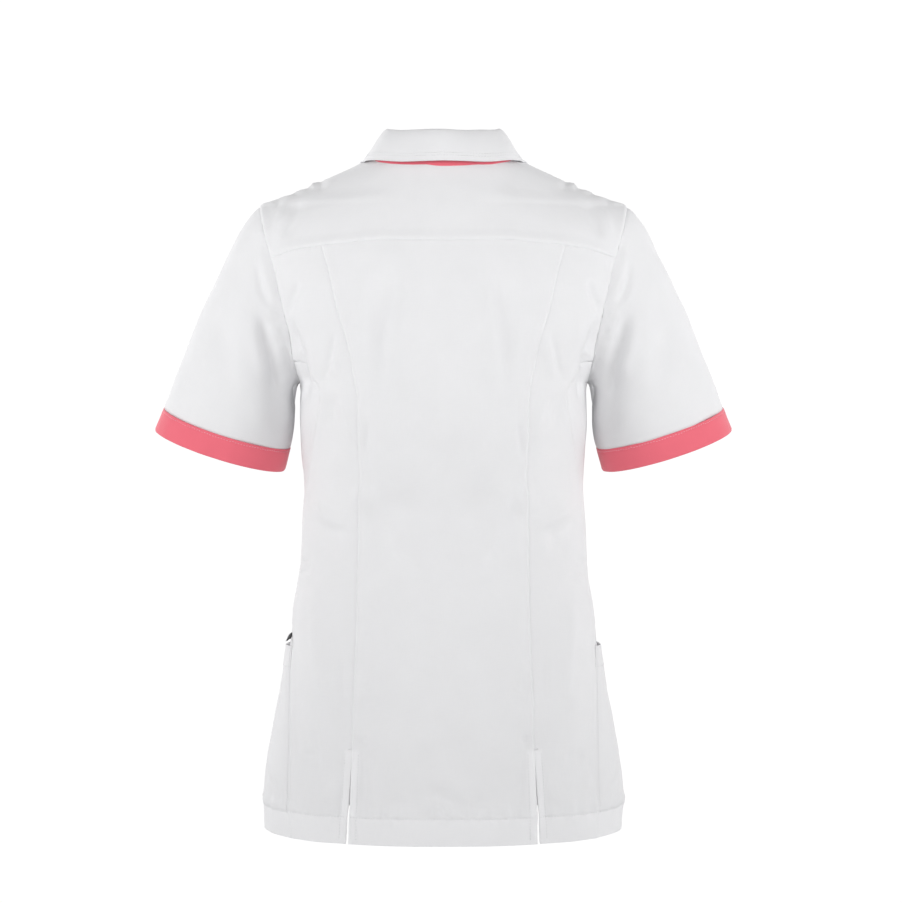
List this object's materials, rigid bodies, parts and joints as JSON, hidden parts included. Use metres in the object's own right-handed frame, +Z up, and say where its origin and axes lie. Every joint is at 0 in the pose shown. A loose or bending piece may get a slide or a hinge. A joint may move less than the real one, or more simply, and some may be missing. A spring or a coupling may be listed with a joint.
{
  "type": "medical tunic",
  "caption": "Short-sleeved women's medical tunic filled out as when worn: white panelled body with back yoke, turned-down collar, coloured cuff bands, hip pockets and hem slits.",
  "frame": {"origin": "base of the neck, midway between the shoulders, at the height where the shoulder line meets the collar; the wearer's shoulders hold the tunic up there", "axes": "+Z up along the wearer, -Y the way the wearer faces, +X the wearer's left"},
  "size_m": [0.611, 0.2882, 0.7311],
  "materials": {
    "white_cloth": "matte",
    "raspberry_cloth": "matte",
    "tab_black": "matte",
    "button_plastic": "satin"
  },
  "bodies": {
    "root": {"back_centre": "white_cloth", "back_side_left": "white_cloth", "back_side_right": "white_cloth", "back_yoke": "white_cloth", "front_left": "white_cloth", "front_right": "white_cloth", "sleeve_left": "white_cloth", "sleeve_right": "white_cloth", "cuff_left": "raspberry_cloth", "cuff_right": "raspberry_cloth", "collar_leaf": "white_cloth", "collar_stand": "raspberry_cloth", "pocket_left": "white_cloth", "pocket_right": "white_cloth", "pocket_tab_left": "tab_black", "button_1": "button_plastic", "button_2": "button_plastic", "button_3": "button_plastic", "button_4": "button_plastic", "button_5": "button_plastic"}
  },
  "joints": []
}
